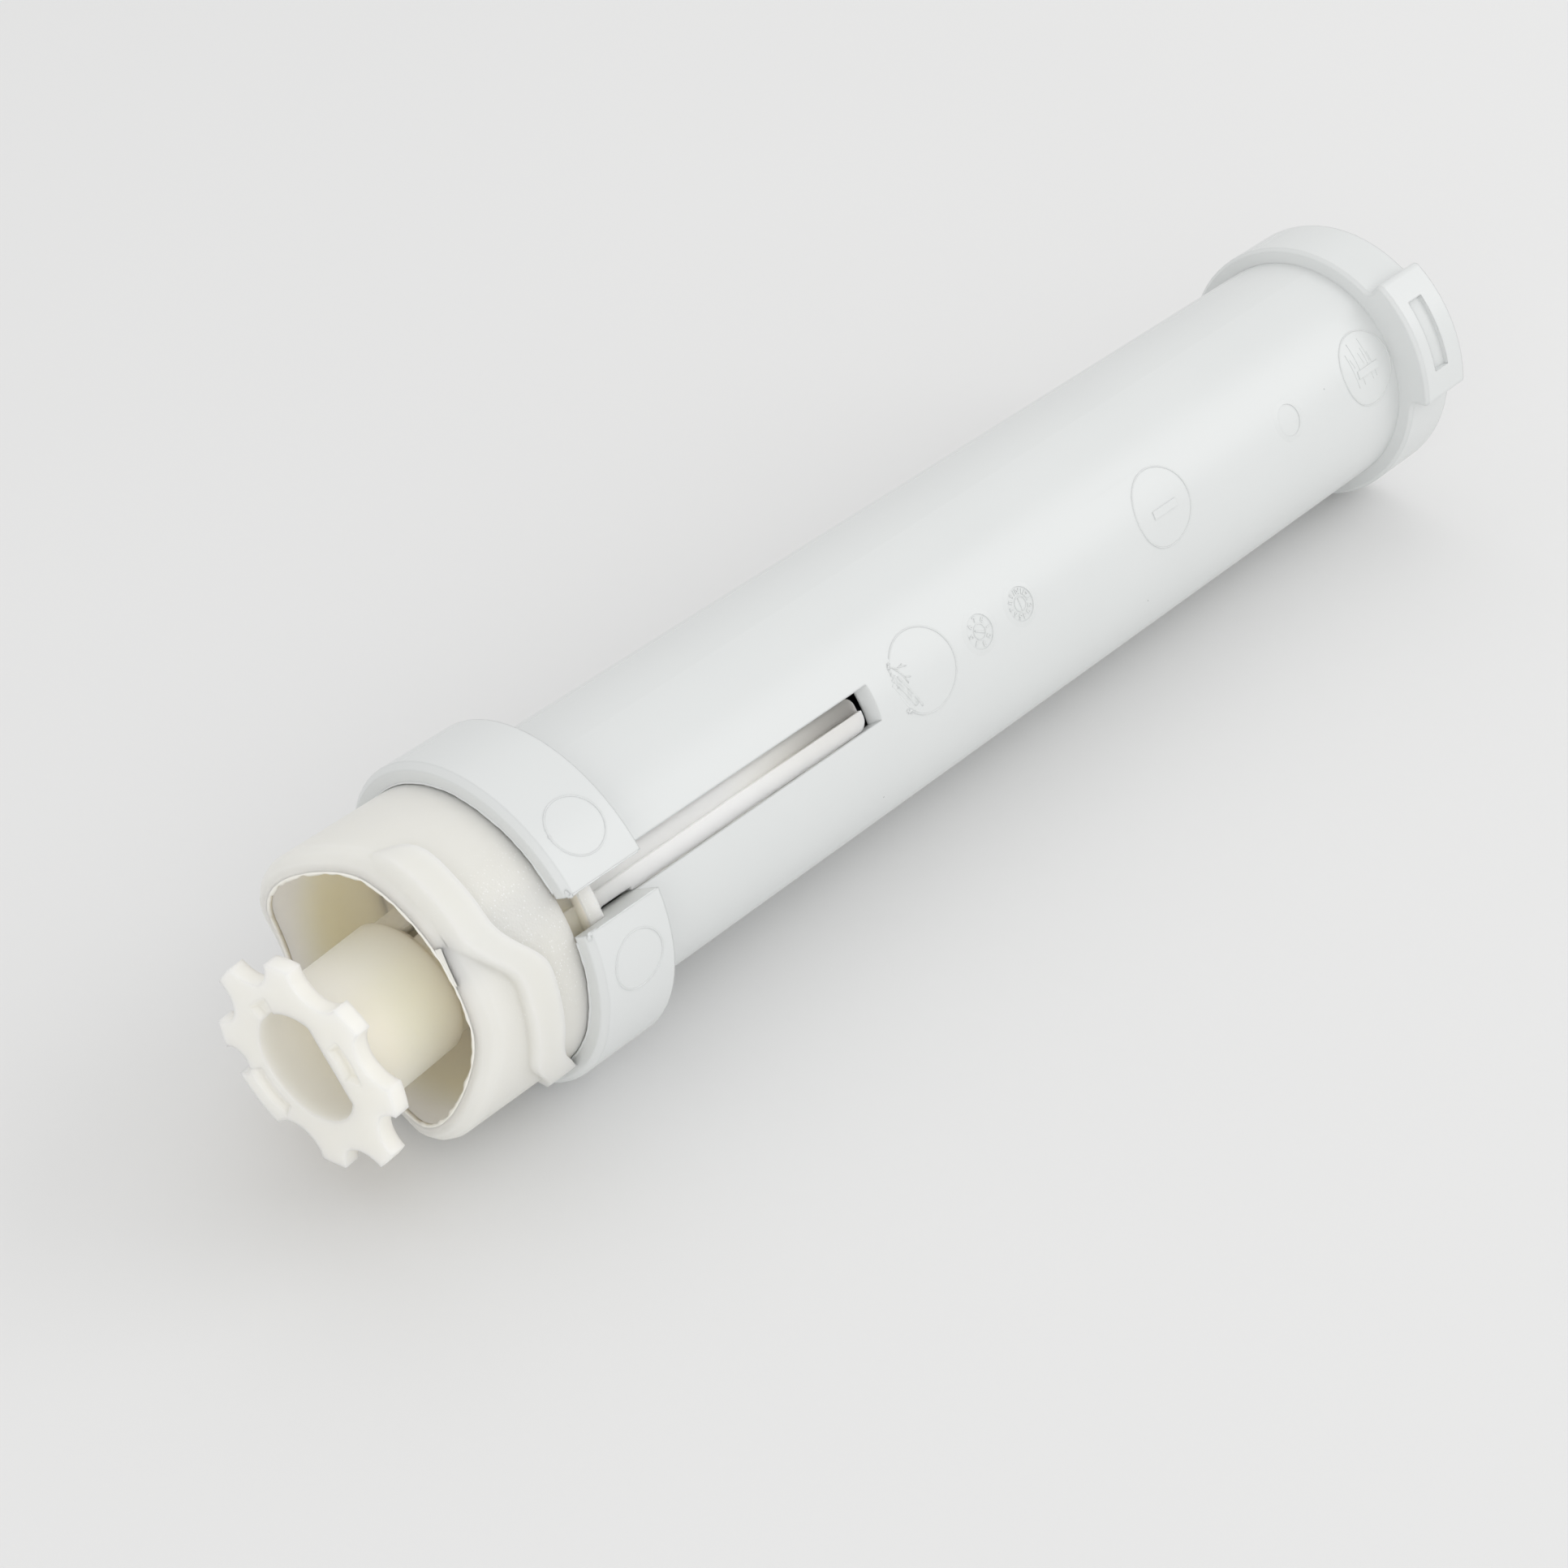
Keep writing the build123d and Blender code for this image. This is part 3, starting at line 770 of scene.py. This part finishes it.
# ragged bead along the inner edge of the saddle-shaped rim
rimBead = {
    "radius": 23.48 * mm,
    "turn": 38.5,
    "front": -21.9 * mm,
    "start": 14 * mm,
    "curve": 12 * mm,
    "curveEnd": 6.36 * mm,
    "slope": radians(32),
    "size": 0.55 * mm,
    "steps": 540,
}


def rimPlace(settings, turn, radius=rimBead["radius"]):
    reach = abs(radius * sin(radians(turn - settings["turn"]))) - settings["start"]
    if reach <= 0:
        back = 0.0
    elif reach <= settings["curveEnd"]:
        back = settings["curve"] - sqrt(settings["curve"] ** 2 - reach ** 2)
    else:
        drop = settings["curve"] - sqrt(settings["curve"] ** 2 - settings["curveEnd"] ** 2)
        back = drop + (reach - settings["curveEnd"]) * tan(settings["slope"])
    return settings["front"] - back


mesh = bmesh.new()
rings = []
for step in range(rimBead["steps"]):
    share = step / rimBead["steps"]
    turn = 360 * share
    size = rimBead["size"] * ripple(share, 0.8, ((23, 0.4), (37, 0.35), (61, 0.25)))
    section = (
        (0.6 * mm, 0.12 * mm), (-0.06 * mm, 0.5 * mm), (-0.12 * mm - 0.2 * size, 0.12 * mm),
        (0.02 * mm, -0.05 * mm - size), (0.3 * mm, -0.05 * mm - 0.8 * size), (0.75 * mm, -0.02 * mm),
    )
    front = rimPlace(rimBead, turn)
    rings.append([onTube(front + x, turn, rimBead["radius"] + rise) for x, rise in section])
addSkin(mesh, rings, closed=True)
finishPiece("noseRimBead", mesh, naturalMark)
print("rim bead done")

# fill for the narrow channel that the key's shelf leaves in the nose wall
channelFill = {
    "low": 23.15 * mm,
    "high": 24.35 * mm,
    "start": 0.05 * mm,
    "end": -6.65 * mm,
    "bevelStart": 24.08 * mm,
    "bevelSlope": 0.42,
    "proud": 0.015 * mm,
    "rear": -0.2 * mm,
    "steps": 20,
}
for face, slotTurn in slotSides:
    mesh = bmesh.new()
    rings = []
    for step in range(channelFill["steps"] + 1):
        share = step / channelFill["steps"]
        side = channelFill["start"] + (channelFill["end"] - channelFill["start"]) * share
        low = max(channelFill["low"], sqrt((rimBead["radius"] + 0.01 * mm) ** 2 - side ** 2))
        ring = []
        for rise in (low, channelFill["high"]):
            turn = slotTurn + degrees(atan2(side, rise))
            radius = sqrt(side ** 2 + rise ** 2)
            bevel = channelFill["bevelSlope"] * max(0.0, radius - channelFill["bevelStart"])
            front = rimPlace(rimBead, turn, radius) + bevel - channelFill["proud"]
            ring.append(atSlot(front, side, rise, slotTurn))
        ring.append(atSlot(channelFill["rear"], side, channelFill["high"], slotTurn))
        ring.append(atSlot(channelFill["rear"], side, low, slotTurn))
        rings.append(ring)
    addSkin(mesh, rings)
    finishPiece("noseChannelFill" + face, mesh, naturalMark, smooth=False)
print("channel fill done")

# stage: the part lies on its collar and its bell, so the floor leans a little with it
stage = {"colour": (0.800, 0.800, 0.797, 1), "size": 6.0}


def makeFloor(settings):
    material, tree, shader = startMaterial("palePaper")
    skin = placeGroup(tree, skinGroup, GrainScale=900.0, FlowScale=8.0, Roughness=0.75, RoughnessSpread=0.05)
    darker = tuple(0.985 * part for part in settings["colour"][:3]) + (1,)
    join(tree, mixColours(tree, skin.outputs["Tone"], darker, settings["colour"]), shader.inputs["Base Color"])
    join(tree, skin.outputs["Roughness"], shader.inputs["Roughness"])
    shader.inputs["Specular IOR Level"].default_value = 0.2
    slope = (collarRadius - tube["bellRadius"]) / (rearEnd - tube["collarLength"])
    half = settings["size"] / 2
    square = ((-half, -half), (half, -half), (half, half), (-half, half))
    corners = [(x, y, -collarRadius + slope * (x - tube["collarLength"])) for x, y in square]
    data = bpy.data.meshes.new("floor")
    data.from_pydata(corners, [], [(0, 1, 2, 3)])
    data.materials.append(material)
    floor = bpy.data.objects.new("floor", data)
    bpy.context.scene.collection.objects.link(floor)


makeFloor(stage)

# light: a broad softbox from above and behind, one whose sheen runs along the tube, a fill and an even room
lighting = {
    "room": 0.78,
    "boxes": {
        "keyBox": ((0.62, 0.55, 1.20), 1.3, 1.9),
        "sheenBox": ((1.01, -0.71, 0.79), 0.95, 4.0),
        "fillBox": ((-0.95, -0.80, 0.50), 1.2, 4.4),
    },
    "aim": Vector((0.1, 0, 0)),
}


def makeLights(settings):
    world = bpy.data.worlds.new("room")
    bpy.context.scene.world = world
    world.use_nodes = True
    world.node_tree.nodes["Background"].inputs["Color"].default_value = (1, 1, 1, 1)
    world.node_tree.nodes["Background"].inputs["Strength"].default_value = settings["room"]
    for name, (place, size, power) in settings["boxes"].items():
        lamp = bpy.data.lights.new(name, "AREA")
        lamp.shape = "SQUARE"
        lamp.size = size
        lamp.energy = power
        box = bpy.data.objects.new(name, lamp)
        box.location = place
        box.rotation_euler = (settings["aim"] - box.location).to_track_quat("-Z", "Y").to_euler()
        bpy.context.scene.collection.objects.link(box)


makeLights(lighting)
print("stage and light done")

# camera at the photograph's angle
shot = {
    "place": Vector((-262.08, -303.69, 341.11)) * mm,
    "look": Vector((0.58826, 0.52473, -0.61531)),
    "lens": 71.55,
    "sensor": 36.0,
}
cameraData = bpy.data.cameras.new("photoCamera")
cameraData.lens = shot["lens"]
cameraData.sensor_width = shot["sensor"]
cameraData.clip_start = 0.01
camera = bpy.data.objects.new("photoCamera", cameraData)
camera.location = shot["place"]
camera.rotation_euler = shot["look"].to_track_quat("-Z", "Y").to_euler()
bpy.context.scene.collection.objects.link(camera)
bpy.context.scene.camera = camera
bpy.context.scene.view_settings.view_transform = "Standard"

print("scene ready")
